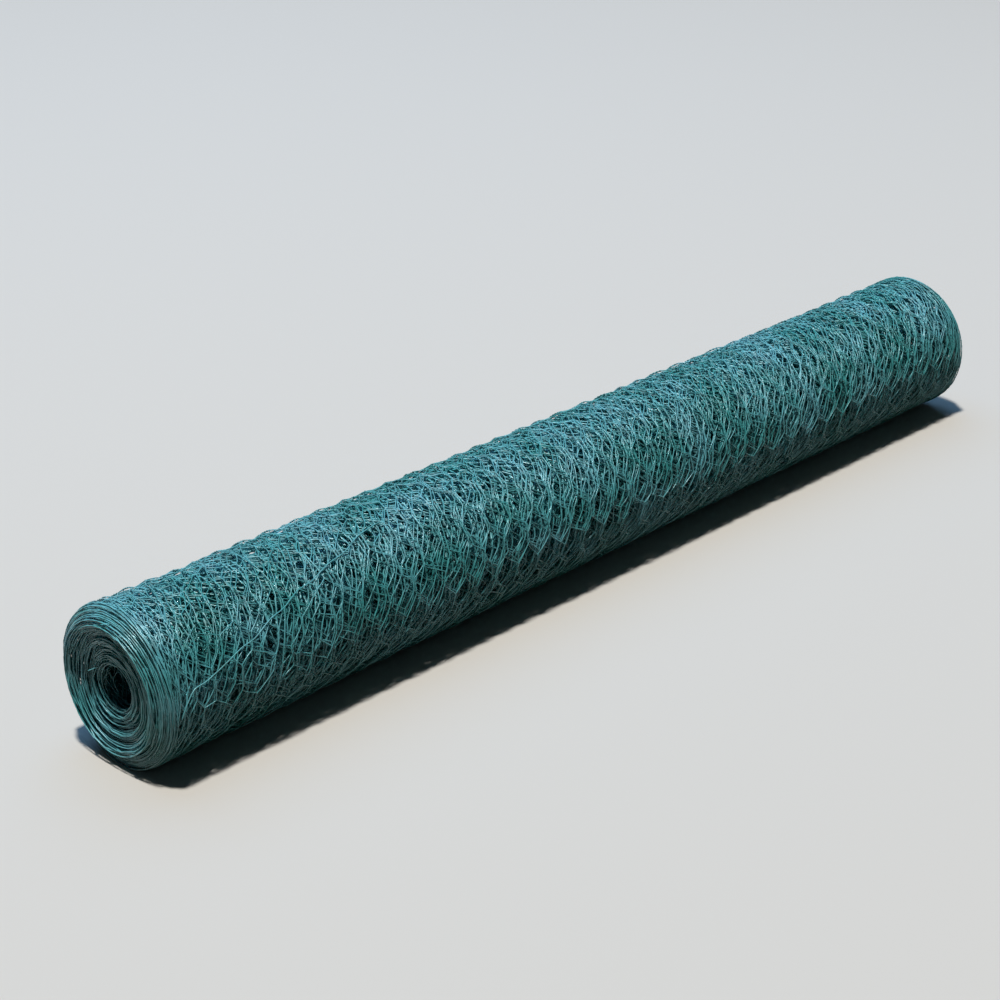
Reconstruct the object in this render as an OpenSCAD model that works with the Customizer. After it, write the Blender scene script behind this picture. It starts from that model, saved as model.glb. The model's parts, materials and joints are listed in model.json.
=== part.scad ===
// Roll of plastic-coated hexagonal wire netting, lying on its side with its axis along X.
// It is one turned solid: every wound turn is a ring of its own length, so the edges of the turns
// step along the axis at both ends, and the twisted selvedge strand along each edge of the netting
// stands out of its turn as a round bead.

/* [Netting] */
// Width of the netting, which is the length of the roll over its furthest beads
netting_w = 1000; // [500:50:1500]
// Thickness that one wound turn takes up
turn_pitch = 1.125; // [1:0.025:2]
// Diameter of the twisted selvedge strand along each edge of the netting
selvedge_d = 0.8; // [0.4:0.05:0.95]

/* [Winding] */
// Diameter of the open bore inside the innermost turn
bore_d = 34; // [20:1:60]
// Number of turns wound around the bore
turns = 40; // [20:1:60]

/* [Ends] */
// Place of the turn that stands out furthest, as a share of the turns counted from the bore
proud_share = 0.75; // [0.3:0.05:0.9]
// Distance that the outermost turn's edge lies behind the edge of the proud turn
shoulder_set_back = 9.5; // [2:0.5:20]
// Distance that the innermost turn's edge lies behind the edge of the proud turn
dish_set_back = 5.5; // [2:0.5:20]
// Roundness of the shoulder outside the proud turn: 1 is a straight cone, higher is rounder
shoulder_curve = 1.3; // [1:0.1:2]

/* [Hidden] */
// Inner radius of the innermost turn
bore_r = bore_d / 2;
// Outer radius of the outermost turn, on which the roll lies
outer_r = bore_r + turns * turn_pitch;
// Number of the proud turn, counted from the bore
proud_turn = round(1 + (turns - 1) * proud_share);
// Flat steps of a drawn circle, for the round selvedge strand and for the turned roll
strand_steps = 24;
turned_steps = 144;
// Angle at which the strand's circle starts: near its crest, with no corner on the edge that it crosses
strand_start = 90 + 180 / strand_steps;
// Colour of the plastic coat
coat_green = [0.16, 0.40, 0.38];

// Outer radius of a turn; turn 0 stands for the wall of the bore
function turn_r(turn) = bore_r + turn * turn_pitch;

// Distance of a turn's edge behind the proud turn: a shallow dish inside it, a rounded shoulder outside
function set_back(turn) =
    turn <= proud_turn
        ? dish_set_back * (proud_turn - turn) / (proud_turn - 1)
        : shoulder_set_back * pow((turn - proud_turn) / (turns - proud_turn), shoulder_curve);

// Distance from the middle of the roll to the flat edge of a turn, under its bead
function edge_x(turn) = netting_w / 2 - selvedge_d / 2 - set_back(turn);

// Half section of the wound turns without their beads: up one end from the bore, then back down the other
function turns_outline() = concat(
    [for (turn = [1:turns]) each [[turn_r(turn - 1), -edge_x(turn)], [turn_r(turn), -edge_x(turn)]]],
    [for (turn = [turns:-1:1]) each [[turn_r(turn), edge_x(turn)], [turn_r(turn - 1), edge_x(turn)]]]
);

// The whole roll: stepped turns with a selvedge bead on both edges of each, turned about the axis
module netting_roll() {
    color(coat_green)
    translate([0, 0, outer_r])
    rotate([0, 90, 0])
    rotate_extrude($fn = turned_steps) {
        polygon(turns_outline());
        for (turn = [1:turns]) {
            for (side = [-1, 1]) {
                translate([turn_r(turn) - turn_pitch / 2, side * edge_x(turn)])
                rotate(strand_start)
                circle(d = selvedge_d, $fn = strand_steps);
            }
        }
    }
}

netting_roll();
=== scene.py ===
import json
import math

import bpy
import numpy as np
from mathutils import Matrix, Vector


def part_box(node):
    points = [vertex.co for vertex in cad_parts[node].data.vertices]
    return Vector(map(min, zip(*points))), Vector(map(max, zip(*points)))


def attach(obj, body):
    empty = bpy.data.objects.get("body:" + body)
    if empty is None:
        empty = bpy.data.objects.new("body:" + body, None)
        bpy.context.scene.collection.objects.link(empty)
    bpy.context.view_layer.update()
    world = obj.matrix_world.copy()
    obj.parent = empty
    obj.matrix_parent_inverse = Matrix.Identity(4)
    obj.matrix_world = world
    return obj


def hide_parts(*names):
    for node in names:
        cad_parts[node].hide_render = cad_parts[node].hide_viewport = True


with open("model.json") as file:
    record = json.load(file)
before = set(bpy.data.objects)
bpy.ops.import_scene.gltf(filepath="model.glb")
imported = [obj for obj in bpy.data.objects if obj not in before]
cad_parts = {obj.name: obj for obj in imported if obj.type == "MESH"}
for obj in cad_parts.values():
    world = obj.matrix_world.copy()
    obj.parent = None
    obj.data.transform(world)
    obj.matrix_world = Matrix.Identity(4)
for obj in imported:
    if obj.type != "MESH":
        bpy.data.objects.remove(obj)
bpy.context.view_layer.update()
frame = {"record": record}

mm = 0.001
fullTurn = 2 * math.pi
lowCorner, highCorner = (np.array(corner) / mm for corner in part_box("netting_roll"))
boreMount = next(mount for mount in frame["record"]["mounts"] if mount["name"] == "bore")

# The wound roll in millimetres: its box and bore are the frame's, and its ends are formed as the turned
# solid's; turns are counted from the bore
rollForm = {
    "width": highCorner[0] - lowCorner[0],
    "outerRadius": (highCorner[2] - lowCorner[2]) / 2,
    "boreRadius": boreMount["dims"]["r_mm"],
    "turns": 40,
    "tightTurns": 7,         # turns in each of the two outer groups, which lie closer than the inner ones
    "tightPitch": (0.9, 0.55),   # mm from turn to turn in the two groups
    "standOff": 2.0,         # mm that the slack outermost turn stands off the turned solid
    "proudRadius": 50.2,     # of the turn that stands out furthest at both ends
    "shoulderSetBack": 9.5,  # of the outermost turn, behind the proud one
    "shoulderCurve": 1.3,    # power of the shoulder's curve
    "dishSetBack": 5.5,      # of the innermost turn, behind the proud one
    "endFade": 80.0,         # over which a set-back edge pulls the meshes beside it
    "startAngle": 200.25,    # degrees from the top towards the viewer, where the first turn begins
    "tableSteps": 200,       # in a turn of the spiral's table
}
halfWidth = rollForm["width"] / 2
axisHeight = lowCorner[2] + rollForm["outerRadius"]

# Hexagonal netting: pairs of wires twisted together in rows, each wire changing partner from row to row
netting = {
    "meshWidth": 23.8,       # mm from twist to twist along a row, before the selvedges pull at it
    "rowPitch": 24.7,        # mm from row to row round the roll
    "twistLength": 14.0,
    "twistLean": -0.16,      # mm across for a mm along, which the twists' spring gives them all
    "slantBow": (-1.5, 0.3),   # mm out from the turn, of slants against that lean and along it
    "slantEase": 0.3,        # how far a slant's points crowd towards its twists: 0 is evenly spaced
    "wireRadius": 0.39,      # over the plastic coat
    "selvedgeRadius": 0.38,
    "selvedgeLay": 22.0,     # mm for one turn of the edge strand
    "selvedgeSteps": 4,      # points in such a turn
    "selvedgeSides": 3,
    "selvedgeWires": 2,
    "selvedgeSpread": (0.2, 0.12),   # mm from the strand's middle, across and out
    "edgeStagger": 2.4,      # mm on the average by which turns' edges stand behind each other
    "staggerWaves": ((0.47, 0.3), (0.41, 1.9), (0.23, 4.1)),   # cycles a turn, phase
    "staggerRise": (3.0, 0.8),       # how fast it grows over the dish, and its share at the proud turn
    # crescents in which slack turns have slipped in: mm radius and reach, degrees from the top, mm deep
    "hollows": ((42.0, 4.5, -62.0, 6.0), (32.0, 4.0, -68.0, 7.0), (31.0, 2.5, 108.0, 6.0)),
    "hollowTaper": 3,        # power of the cosine that thins a crescent out round the roll
    # mm from the edge, of even meshes and as the selvedge has pulled them in
    "edgeMeshes": ((0.0, 12.0, 24.0, 36.0, 48.0, 72.0, 500.0),
                   (0.0, 2.8, 6.5, 12.0, 20.0, 42.0, 500.0)),
    "twistJitter": (1.3, 1.2, 0.25),   # mm along, across and out
    "ripple": (2.2, 2.2, 0.3),         # mm of slow waves along, across and out
    "rippleCount": 9,
    "rippleSize": (70.0, 300.0),       # mm from crest to crest
    "edgeRipple": 0.4,       # share of the waves that is left on the selvedges
    "wander": 6.25,          # mm that the meshes drift to and fro along the roll from turn to turn
    "wanderTurns": 7.3,      # turns for one such drift
    "wanderEdge": 16.0,      # mm from the selvedges over which it sets in
    "looseGain": 1.6,        # how much stronger the waves are in the outer turns at the viewer's end
    "looseReach": 330.0,     # mm from the viewer's end
    "looseTurns": 5.0,       # over which they grow to that
    "bunch": 3.0,            # mm by which wires there crowd together, in bands that run round the roll
    "bunchRise": 2.0,        # how much sooner than the waves the bands are at their full strength
    "bunchCount": 4,
    "bunchSize": (34.0, 60.0, 220.0, 600.0),   # mm from band to band along the roll, and mm round it
    "thickening": (12.0, 24.0),   # mm from the ends, between which hidden wires grow to their inner share
    "seed": 41,
}
wireRadius = netting["wireRadius"]
lastTurn = rollForm["turns"] - 1
closeStart = lastTurn - rollForm["tightTurns"]
tightStart = closeStart - rollForm["tightTurns"]
topRadius = rollForm["outerRadius"] + rollForm["standOff"] - wireRadius

# The spiral as a table over the turns: even steps out to the tight turns, smaller steps in two groups after
# them, and the length of netting up to each place as the sum of circumferences
turnTable = np.linspace(0, lastTurn, rollForm["tableSteps"] * lastTurn + 1)
firstRadius = rollForm["boreRadius"] + wireRadius
lastRadius = topRadius - wireRadius
closeRadius = lastRadius - rollForm["tightTurns"] * rollForm["tightPitch"][1]
tightRadius = closeRadius - rollForm["tightTurns"] * rollForm["tightPitch"][0]
radiusTable = np.interp(turnTable, [0, tightStart, closeStart, lastTurn],
                        [firstRadius, tightRadius, closeRadius, lastRadius])
ringSteps = fullTurn * (radiusTable[1:] + radiusTable[:-1]) / 2 * np.diff(turnTable)
lengthTable = np.concatenate([[0], np.cumsum(ringSteps)])
nettingLength = lengthTable[-1]


# Length of netting from the bore to a turn
def lengthAt(turn):
    return np.interp(turn, turnTable, lengthTable)


# Turn at a length of netting from the bore
def turnAt(length):
    return np.interp(length, lengthTable, turnTable)


# Angle of a place on the spiral, from the top towards the viewer
def angleAt(turn):
    return math.radians(rollForm["startAngle"]) + fullTurn * turn


# Set-back of a turn's edge. Its form goes by the radius: straight from the bore to the proud turn, then a
# power curve to the outermost. Turns also stand behind each other by a sum of sines over the turns, which
# dies out over the shoulder, and slip into crescents: a bell over the radius times a power of a cosine round
# the roll
def setBack(turn, radius):
    proud = rollForm["proudRadius"]
    dish = np.clip((proud - radius) / (proud - firstRadius), 0, 1)
    shoulder = np.clip((radius - proud) / (rollForm["outerRadius"] - wireRadius - proud), 0, 1)
    shoulderCurve = shoulder ** rollForm["shoulderCurve"]
    form = rollForm["dishSetBack"] * dish + rollForm["shoulderSetBack"] * shoulderCurve
    rise, least = netting["staggerRise"]
    waves = sum(np.sin(fullTurn * cycles * turn + phase) for cycles, phase in netting["staggerWaves"])
    stagger = netting["edgeStagger"] * (1 + waves / len(netting["staggerWaves"]))
    stagger = stagger * np.clip(rise * dish, least, 1) * (1 - shoulder ** 2)
    slip = 0
    for middle, reach, angle, deep in netting["hollows"]:
        crescent = (0.5 + 0.5 * np.cos(angleAt(turn) - math.radians(angle))) ** netting["hollowTaper"]
        slip = slip + deep * np.exp(-((radius - middle) / reach) ** 2) * crescent
    return form + stagger + slip


# Winds flat netting on to the roll: length gives the place on the spiral; across runs along the axis, drawn
# in by the turn's set-back, which fades as a square from both edges; lift stands out from the turn's middle
def windOn(length, across, lift):
    turn = turnAt(length)
    middle = np.interp(turn, turnTable, radiusTable)
    radius = np.minimum(middle + lift, topRadius)
    drawn = setBack(turn, middle) + netting["selvedgeSpread"][0] + wireRadius
    nearFade = np.clip(1 - across / rollForm["endFade"], 0, 1) ** 2
    farFade = np.clip(1 - (rollForm["width"] - across) / rollForm["endFade"], 0, 1) ** 2
    x = across - halfWidth + drawn * (nearFade - farFade)
    around = angleAt(turn)
    height = np.maximum(axisHeight + radius * np.cos(around), lowCorner[2] + wireRadius)   # lies on the floor
    return np.stack([x, -radius * np.sin(around), height], -1) * mm


wireCount = round(2 * rollForm["width"] / netting["meshWidth"])
rowCount = int(nettingLength / netting["rowPitch"])
rng = np.random.default_rng(netting["seed"])
# small errors of both ends of every twist: (column, row, end, along-across-out)
twistErrors = rng.normal(0, 1, (wireCount + 1, rowCount + 2, 2, 3)) * np.array(netting["twistJitter"])
# cycles a mm along and across, and phases: of the slow waves for along, across and out, and of the bands
rippleShape = (3, netting["rippleCount"])
rippleWaves = rng.uniform(-1, 1, (*rippleShape, 2)) / rng.uniform(*netting["rippleSize"], (*rippleShape, 1))
ripplePhases = rng.uniform(0, fullTurn, rippleShape)
bunchCount = netting["bunchCount"]
bunchAlong = 1 / rng.uniform(*netting["bunchSize"][:2], bunchCount)
bunchRound = rng.choice([-1, 1], bunchCount) / rng.uniform(*netting["bunchSize"][2:], bunchCount)
bunchWaves = np.stack([bunchRound, bunchAlong], -1)
bunchPhases = rng.uniform(0, fullTurn, bunchCount)
print("netting of", round(nettingLength), "mm,", rowCount, "rows and", wireCount, "wires")


# Sum of sines over the flat sheet, scaled so that size is the sum's height on the average
def waveSum(length, across, cycles, phases, size):
    sines = [np.sin(fullTurn * (length * u + across * v) + p) for (u, v), p in zip(cycles, phases)]
    return size * sum(sines) / math.sqrt(len(sines) / 2)


# How the sheet has settled: slow waves, stronger in the outer turns towards the viewer's end and weaker on
# the selvedges; shorter waves that crowd the wires of those turns into bands; and a drift along the roll that
# goes to and fro in even steps from turn to turn
def settle(length, across, lift):
    looseLength = nettingLength - lengthAt(lastTurn - netting["looseTurns"])
    outer = np.clip(1 - (nettingLength - length) / looseLength, 0, 1)
    near = np.clip(1 - across / netting["looseReach"], 0, 1)
    edge = np.clip(np.minimum(across, rollForm["width"] - across) / rollForm["endFade"], 0, 1)
    gain = 1 + netting["looseGain"] * outer * near
    gain = gain * (netting["edgeRipple"] + (1 - netting["edgeRipple"]) * edge)
    moved = []
    for place, waves, phases, size in zip((length, across, lift), rippleWaves, ripplePhases,
                                          netting["ripple"]):
        moved.append(place + waveSum(length, across, waves, phases, gain * size))
    crowding = edge * near * np.minimum(netting["bunchRise"] * outer, 1) * netting["bunch"]
    moved[1] += waveSum(length, across, bunchWaves, bunchPhases, crowding)
    drift = np.arcsin(np.sin(fullTurn * turnAt(length) / netting["wanderTurns"])) * 2 / math.pi
    moved[1] += netting["wander"] * drift * np.clip(edge * rollForm["endFade"] / netting["wanderEdge"], 0, 1)
    return moved


# Paths of all wires through some rows: in a twist a wire circles the pair's middle line, and between twists
# it runs to its next partner, straight across and bowed in or out by half a sine. The meshes beside the
# selvedges are pulled in by a table, and the sheet is settled and wound on: (wires, points, 3) in the roll's
# frame
def wirePaths(firstRow, lastRow, twistTurns, twistSteps, slantSteps):
    rows = np.arange(firstRow, lastRow + 1)
    wires = np.arange(wireCount)[:, None]
    even = (wires + rows) % 2 == 0
    column = wires + even                                  # the twist that each wire is in, row by row
    twistEnds = np.array([-0.5, 0.5]) * netting["twistLength"]
    flat = np.stack(np.broadcast_arrays(
        (rows[None, :, None] + 0.5) * netting["rowPitch"] + twistEnds,
        column[:, :, None] * netting["meshWidth"] / 2 + netting["twistLean"] * twistEnds,
        0.0), -1) + twistErrors[column, rows[None, :]]
    start = np.where(even, math.pi, 0.0)[:, :, None]
    share = np.linspace(0, 1, twistSteps + 1)
    phase = start + fullTurn * twistTurns * share
    twist = flat[:, :, 0, None] + (flat[:, :, 1] - flat[:, :, 0])[:, :, None] * share[:, None]
    twist[..., 1] += wireRadius * np.cos(phase)
    twist[..., 2] += wireRadius * np.sin(phase)
    ease = netting["slantEase"]
    step = np.linspace(0, 1, slantSteps + 1)[1:-1]
    step = ((1 - ease) * step + ease * step * step * (3 - 2 * step))[:, None]
    slant = twist[:, :-1, -1, None] + (twist[:, 1:, 0] - twist[:, :-1, -1])[:, :, None] * step
    against = twist[:, 1:, 0, 1] > twist[:, :-1, -1, 1]    # slants that cross against the twists' lean
    bow = np.where(against, *netting["slantBow"])[:, :, None]
    slant[..., 2] += bow * np.sin(math.pi * step[:, 0])
    body = np.concatenate([twist[:, :-1], slant], 2).reshape(wireCount, -1, 3)
    path = np.concatenate([body, twist[:, -1, :1]], 1)
    across = np.clip(path[..., 1], 0, rollForm["width"])
    nearer = np.minimum(across, rollForm["width"] - across)
    pulled = nearer - np.interp(nearer, *netting["edgeMeshes"])
    across = across - np.where(across < halfWidth, pulled, -pulled)
    return windOn(*settle(path[..., 0], across, path[..., 2]))


# A round profile carried along many paths at once, with one radius or one for each point: rings of corners
# across each path's own direction, the first corner turned away from the roll's axis, with both ends closed;
# the corners stand out so far that a profile with few sides is as wide on the average as the round wire
def tubes(paths, radius, sides):
    count, points = paths.shape[:2]
    cornerRadius = radius * math.pi / (sides * math.sin(math.pi / sides))
    cornerRadius = np.reshape(cornerRadius, (*np.shape(radius), 1, 1))
    along = np.gradient(paths, axis=1)
    along /= np.linalg.norm(along, axis=-1, keepdims=True)
    outward = paths - np.array([0, 0, axisHeight * mm])
    outward[..., 0] = 0
    outward -= along * (outward * along).sum(-1, keepdims=True)
    outward /= np.linalg.norm(outward, axis=-1, keepdims=True)
    aside = np.cross(along, outward)
    turn = np.arange(sides) * fullTurn / sides
    ring = outward[..., None, :] * np.cos(turn)[:, None] + aside[..., None, :] * np.sin(turn)[:, None]
    corners = (paths[..., None, :] + cornerRadius * ring).reshape(-1, 3)
    grid = np.arange(count * points * sides).reshape(count, points, sides)
    after = np.roll(grid, -1, 2)
    walls = np.stack([grid[:, :-1], after[:, :-1], after[:, 1:], grid[:, 1:]], -1).reshape(-1, 4)
    caps = np.concatenate([grid[:, 0, ::-1], grid[:, -1]], 0)
    return corners, walls, caps


# Puts corners, four-sided walls and end caps into one smooth mesh that stands for the turned solid
def makePiece(name, corners, walls, caps, material):
    mesh = bpy.data.meshes.new(name)
    wallSides, capSides = walls.shape[1], caps.shape[1]
    loops = np.concatenate([walls.ravel(), caps.ravel()]).astype(np.int32)
    starts = np.concatenate([np.arange(len(walls)) * wallSides, walls.size + np.arange(len(caps)) * capSides])
    mesh.vertices.add(len(corners))
    mesh.vertices.foreach_set("co", corners.astype(np.float32).ravel())
    mesh.loops.add(len(loops))
    mesh.loops.foreach_set("vertex_index", loops)
    mesh.polygons.add(len(starts))
    mesh.polygons.foreach_set("loop_start", starts.astype(np.int32))
    mesh.polygons.foreach_set("use_smooth", np.ones(len(starts), bool))
    mesh.update(calc_edges=True)
    mesh.validate()
    mesh.materials.append(material)
    piece = bpy.data.objects.new(name, mesh)
    bpy.context.scene.collection.objects.link(piece)
    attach(piece, "root")
    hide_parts("netting_roll")
    print(name, len(walls) * (wallSides - 2) + len(caps) * (capSides - 2), "triangles")


# sRGB hex to linear
def hexColour(text):
    value = np.array([int(text[i:i + 2], 16) for i in (1, 3, 5)]) / 255
    linear = np.where(value <= 0.04045, value / 12.92, ((value + 0.055) / 1.055) ** 2.4)
    return (*linear.tolist(), 1.0)


# Adds a node with its settings; an input that is a socket is linked, any other is set
def addNode(tree, kind, inputs=None, **settings):
    node = tree.nodes.new(kind)
    for key, value in settings.items():
        setattr(node, key, value)
    for key, value in (inputs or {}).items():
        if isinstance(value, bpy.types.NodeSocket):
            tree.links.new(value, node.inputs[key])
        else:
            node.inputs[key].default_value = value
    return node


coat = {
    "green": "#48a6a5",
    "faded": "#78c4ce",
    "grime": "#143f3a",
    "gloss": "#e8f8ff",
    "fadeSize": 55.0,             # mm of a faded patch
    "fadeDetail": 3.0,
    "fadeRange": (0.38, 0.66),    # of the noise, from green to faded
    "grimeSize": 9.0,             # mm of a dull spot
    "grimeDetail": 2.0,
    "grimeRange": (0.5, 0.75),    # of the noise, from clean to the most grime
    "grimeMost": 0.6,
    "roughness": 0.34,
    "roughRange": (0.3, 0.7),     # of the spots' noise, over which the roughness goes from less to more
    "roughChange": (-0.08, 0.12),
    "ior": 1.58,
    "specularLevel": 1.0,
}


# Soft PVC extruded over galvanised wire: a smooth glossy green skin, bleached in patches and dulled by dirt
def pvcCoatExtruded():
    material = bpy.data.materials.new("pvcCoatExtruded")
    material.use_nodes = True
    tree = material.node_tree
    tree.nodes.clear()
    place = addNode(tree, "ShaderNodeTexCoord").outputs["Object"]
    patches = addNode(tree, "ShaderNodeTexNoise",
                      {"Vector": place, "Scale": 1 / (coat["fadeSize"] * mm), "Detail": coat["fadeDetail"]})
    spots = addNode(tree, "ShaderNodeTexNoise",
                    {"Vector": place, "Scale": 1 / (coat["grimeSize"] * mm), "Detail": coat["grimeDetail"]})
    low, high = coat["fadeRange"]
    fade = addNode(tree, "ShaderNodeMapRange",
                   {"Value": patches.outputs["Fac"], "From Min": low, "From Max": high})
    low, high = coat["grimeRange"]
    dirt = addNode(tree, "ShaderNodeMapRange",
                   {"Value": spots.outputs["Fac"], "From Min": low, "From Max": high,
                    "To Max": coat["grimeMost"]})
    skin = addNode(tree, "ShaderNodeMix",
                   {"Factor": fade.outputs["Result"], "A": hexColour(coat["green"]),
                    "B": hexColour(coat["faded"])}, data_type="RGBA")
    worn = addNode(tree, "ShaderNodeMix",
                   {"Factor": dirt.outputs["Result"], "A": skin.outputs["Result"],
                    "B": hexColour(coat["grime"])}, data_type="RGBA")
    low, high = coat["roughRange"]
    less, more = coat["roughChange"]
    rough = addNode(tree, "ShaderNodeMapRange",
                    {"Value": spots.outputs["Fac"], "From Min": low, "From Max": high,
                     "To Min": coat["roughness"] + less, "To Max": coat["roughness"] + more})
    shader = addNode(tree, "ShaderNodeBsdfPrincipled",
                     {"Base Color": worn.outputs["Result"], "Roughness": rough.outputs["Result"],
                      "IOR": coat["ior"], "Specular IOR Level": coat["specularLevel"],
                      "Specular Tint": hexColour(coat["gloss"])})
    addNode(tree, "ShaderNodeOutputMaterial", {"Surface": shader.outputs["BSDF"]})
    return material


greenCoat = pvcCoatExtruded()

# From the bore outwards, with thicker wires of fewer steps and sides where the turns are buried: (name, first
# and last turn, turns and steps in a twist, steps in a slant, sides of a wire, and two shares of the wire's
# thickness, near the ends of the roll and further inside)
windings = [
    ("nettingBoreTurns", 0, 3, 1, 2, 2, 3, 1.2, 1.6),
    ("nettingBuriedTurns", 3, 24, 1, 1, 1, 3, 1.9, 3.0),
    ("nettingInnerTurns", 24, 31, 1, 2, 1, 3, 1.4, 1.7),
    ("nettingUpperTurns", 31, 35, 1, 4, 2, 3, 1.1, 1.1),
    ("nettingThirdTurns", 35, 37, 1, 4, 2, 4, 1.0, 1.0),
    ("nettingSecondTurn", 37, 38, 2, 8, 3, 4, 1.0, 1.0),
    ("nettingOuterTurn", 38, 39, 2, 8, 3, 4, 1.0, 1.0),
]
for name, begin, finish, twistTurns, twistSteps, slantSteps, sides, endShare, innerShare in windings:
    firstRow, lastRow = (int(lengthAt(turn) / netting["rowPitch"]) for turn in (begin, finish))
    paths = wirePaths(firstRow, lastRow, twistTurns, twistSteps, slantSteps)
    depth = halfWidth - np.abs(paths[..., 0]) / mm
    thickness = np.interp(depth, netting["thickening"], (endShare, innerShare))
    makePiece(name, *tubes(paths, wireRadius * thickness * mm, sides), greenCoat)


# Both edges of the netting: wires laid round each other in a flat helix along the sheet's edge
def selvedgePaths():
    length = np.arange(0, nettingLength, netting["selvedgeLay"] / netting["selvedgeSteps"])
    wires = np.arange(netting["selvedgeWires"])
    phase = fullTurn * (length / netting["selvedgeLay"] + np.tile(wires, 2)[:, None] / len(wires))
    edge = np.repeat([0, rollForm["width"]], len(wires))[:, None]
    length, across = np.broadcast_arrays(length, edge)
    length, across, lift = settle(length, across, np.zeros_like(across))
    spreadAcross, spreadOut = netting["selvedgeSpread"]
    return windOn(length, across + spreadAcross * np.cos(phase), lift + spreadOut * np.sin(phase))


selvedgeTubes = tubes(selvedgePaths(), netting["selvedgeRadius"] * mm, netting["selvedgeSides"])
makePiece("selvedgeStrands", *selvedgeTubes, greenCoat)

# Loose wires on the outside: places as (mm from the viewer's end, degrees from the top towards the viewer)
looseWires = {
    "diagonalWire": [(12, 106), (17, 93), (22, 85), (30, 78), (42, 76), (60, 71), (78, 65.5), (92, 63),
                     (110, 56), (126, 52.5), (143, 46), (160, 43.5), (180, 37.5), (200, 34), (220, 27),
                     (238, 24), (256, 21)],
    "roundWire": [(129, -40), (128, -15), (127, 0), (127, 20), (127.5, 40), (126, 52), (119, 66), (113, 80),
                  (109, 95), (107, 112)],
    "radius": 63.6,
    "endDip": 4.0,    # mm that both ends go in under the netting
    "wireRadius": 0.46,
    "sides": 6,
    "steps": 8,       # from place to place, and over which an end goes in
}


# A smooth line through given places: cubic spans, whose slope at each place is half the step from the place
# before it to the one after it; beyond both ends the line is carried on straight
def smoothLine(places, steps):
    p = np.asarray(places, float)
    p = np.concatenate([2 * p[:1] - p[1:2], p, 2 * p[-1:] - p[-2:-1]])
    t = np.linspace(0, 1, steps, endpoint=False)[:, None, None]
    a, b, c, d = p[:-3], p[1:-2], p[2:-1], p[3:]
    spans = 0.5 * (2 * b + (c - a) * t + (2 * a - 5 * b + 4 * c - d) * t ** 2
                   + (3 * b - a - 3 * c + d) * t ** 3)
    return np.concatenate([spans.transpose(1, 0, 2).reshape(-1, p.shape[1]), p[-2:-1]])


steps = looseWires["steps"]
for name in ("diagonalWire", "roundWire"):
    line = smoothLine(looseWires[name], steps)
    around = np.radians(line[:, 1])
    reach = np.full(len(line), looseWires["radius"])
    reach[:steps] -= np.linspace(looseWires["endDip"], 0, steps)
    reach[-steps:] -= np.linspace(0, looseWires["endDip"], steps)
    path = np.stack([line[:, 0] - halfWidth, -reach * np.sin(around),
                     axisHeight + reach * np.cos(around)], -1) * mm
    makePiece(name, *tubes(path[None], looseWires["wireRadius"] * mm, looseWires["sides"]), greenCoat)

# The wire end that comes out of the bore, as thick as the loose wires: places as (mm from the viewer's end,
# mm away from the viewer, mm above the axis)
boreWire = {
    "places": [(36, 4, 16.2), (22, 9, 14.6), (14, 13, 12.8), (8.9, 16.6, 11.2), (5.2, 19.6, 9.7),
               (1.5, 22.5, 8.1)],
}
line = smoothLine(boreWire["places"], steps)
path = (line + np.array([-halfWidth, 0, axisHeight])) * mm
makePiece("boreWireEnd", *tubes(path[None], looseWires["wireRadius"] * mm, looseWires["sides"]), greenCoat)

# Camera worked out from the roll's outline and near end in the photo; a 36 mm wide square picture
viewpoint = {
    "place": (-1.3984, -1.2365, 0.8866),
    "yaw": 46.557,
    "pitch": 24.19,
    "sensor": 36.0,
    "lens": 86.4,
}
camera = bpy.data.objects.new("camera", bpy.data.cameras.new("camera"))
camera.location = viewpoint["place"]
camera.rotation_euler = (math.radians(90 - viewpoint["pitch"]), 0, math.radians(-viewpoint["yaw"]))
camera.data.sensor_width = viewpoint["sensor"]
camera.data.lens = viewpoint["lens"]
bpy.context.scene.collection.objects.link(camera)
bpy.context.scene.camera = camera

studio = {
    "floorColour": "#d4d0c8",
    "floorBounce": "#3a4434",   # what the floor throws back at the object
    "floorReach": 12.0,         # metres from the roll
    "floorPoints": 3,           # along each side of its grid
    "skyColour": "#c5def2",
    "skyStrength": 0.03,
    # name, direction from the roll, metres away, width, watts, colour
    "lamps": [("keyLamp", (-0.15, -0.03, 0.97), 12.0, 0.9, 1340.0, "#fffcf8"),
              ("skyPanel", (0.2, 0.45, 1.0), 4.0, 4.0, 78.0, "#84bbf4")],
}


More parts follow.
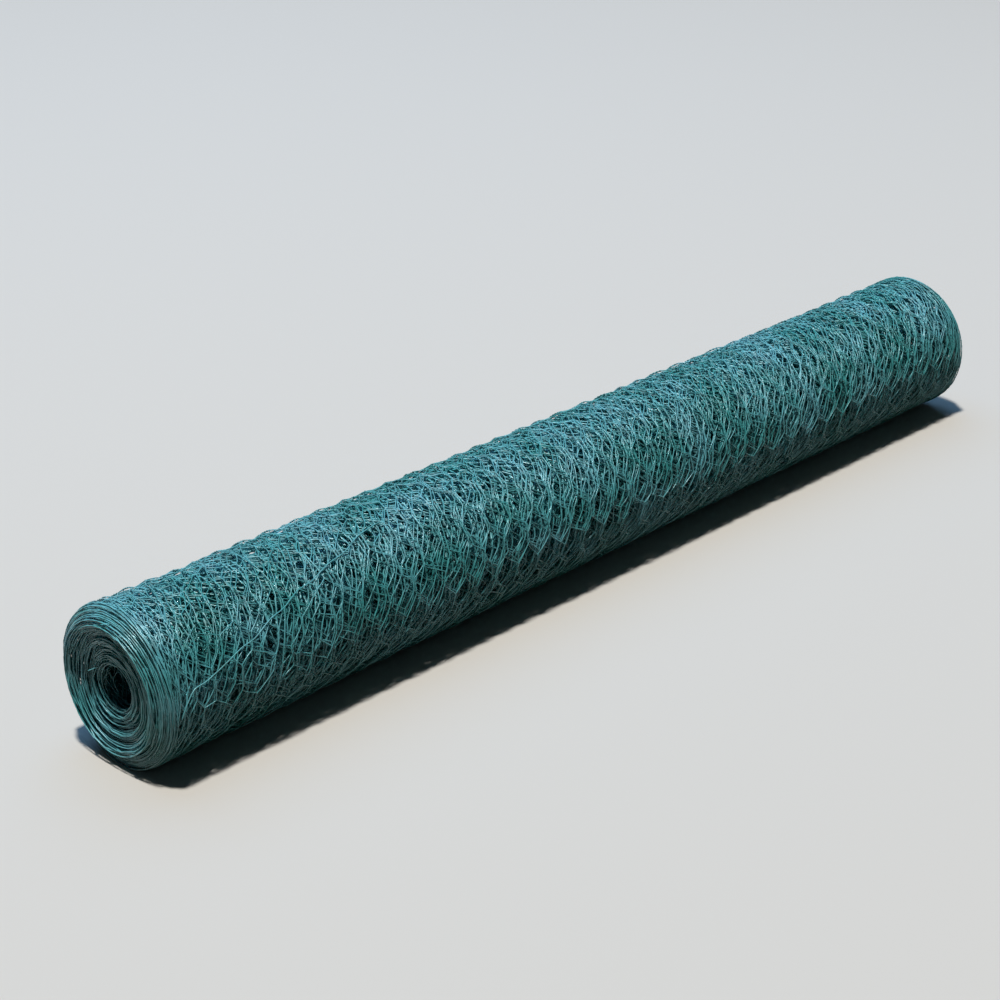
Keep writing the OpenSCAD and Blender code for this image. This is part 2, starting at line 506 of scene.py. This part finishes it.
# Matt pale paper: one colour for the eye and for gloss, a duller one for the light that it throws back
def mattPaper():
    material = bpy.data.materials.new("mattPaperSheet")
    material.use_nodes = True
    tree = material.node_tree
    tree.nodes.clear()
    rays = addNode(tree, "ShaderNodeLightPath")
    seen = addNode(tree, "ShaderNodeMath",
                   {0: rays.outputs["Is Camera Ray"], 1: rays.outputs["Is Glossy Ray"]}, operation="MAXIMUM")
    shown = addNode(tree, "ShaderNodeMath",
                    {0: seen.outputs[0], 1: rays.outputs["Is Transmission Ray"]}, operation="MAXIMUM")
    colour = addNode(tree, "ShaderNodeMix",
                     {"Factor": shown.outputs[0], "A": hexColour(studio["floorBounce"]),
                      "B": hexColour(studio["floorColour"])}, data_type="RGBA")
    shader = addNode(tree, "ShaderNodeBsdfDiffuse", {"Color": colour.outputs["Result"]})
    addNode(tree, "ShaderNodeOutputMaterial", {"Surface": shader.outputs["BSDF"]})
    return material


# A flat square grid far wider than the view, on the ground
side = np.linspace(-studio["floorReach"], studio["floorReach"], studio["floorPoints"])
gx, gy = np.meshgrid(side, side, indexing="ij")
floorMesh = bpy.data.meshes.new("studioFloor")
order = np.arange(gx.size).reshape(gx.shape)
quads = np.stack([order[:-1, :-1], order[1:, :-1], order[1:, 1:], order[:-1, 1:]], -1).reshape(-1, 4)
floorMesh.from_pydata(np.stack([gx, gy, 0 * gx], -1).reshape(-1, 3).tolist(), [], quads.tolist())
floorMesh.materials.append(mattPaper())
studioFloor = bpy.data.objects.new("studioFloor", floorMesh)
bpy.context.scene.collection.objects.link(studioFloor)

world = bpy.data.worlds.new("softStudioSky")
world.use_nodes = True
sky = world.node_tree.nodes["Background"]
sky.inputs["Color"].default_value = hexColour(studio["skyColour"])
sky.inputs["Strength"].default_value = studio["skyStrength"]
bpy.context.scene.world = world
for name, direction, distance, size, power, colour in studio["lamps"]:
    lamp = bpy.data.lights.new(name, "AREA")
    lamp.size = size
    lamp.energy = power
    lamp.color = hexColour(colour)[:3]
    holder = bpy.data.objects.new(name, lamp)
    x, y, z = np.array(direction) / np.linalg.norm(direction)
    holder.location = (x * distance, y * distance, z * distance)
    holder.rotation_euler = (math.acos(z), 0, math.atan2(y, x) + math.pi / 2)   # faces the roll
    bpy.context.scene.collection.objects.link(holder)
bpy.context.scene.view_settings.view_transform = "Standard"
print("studio ready")
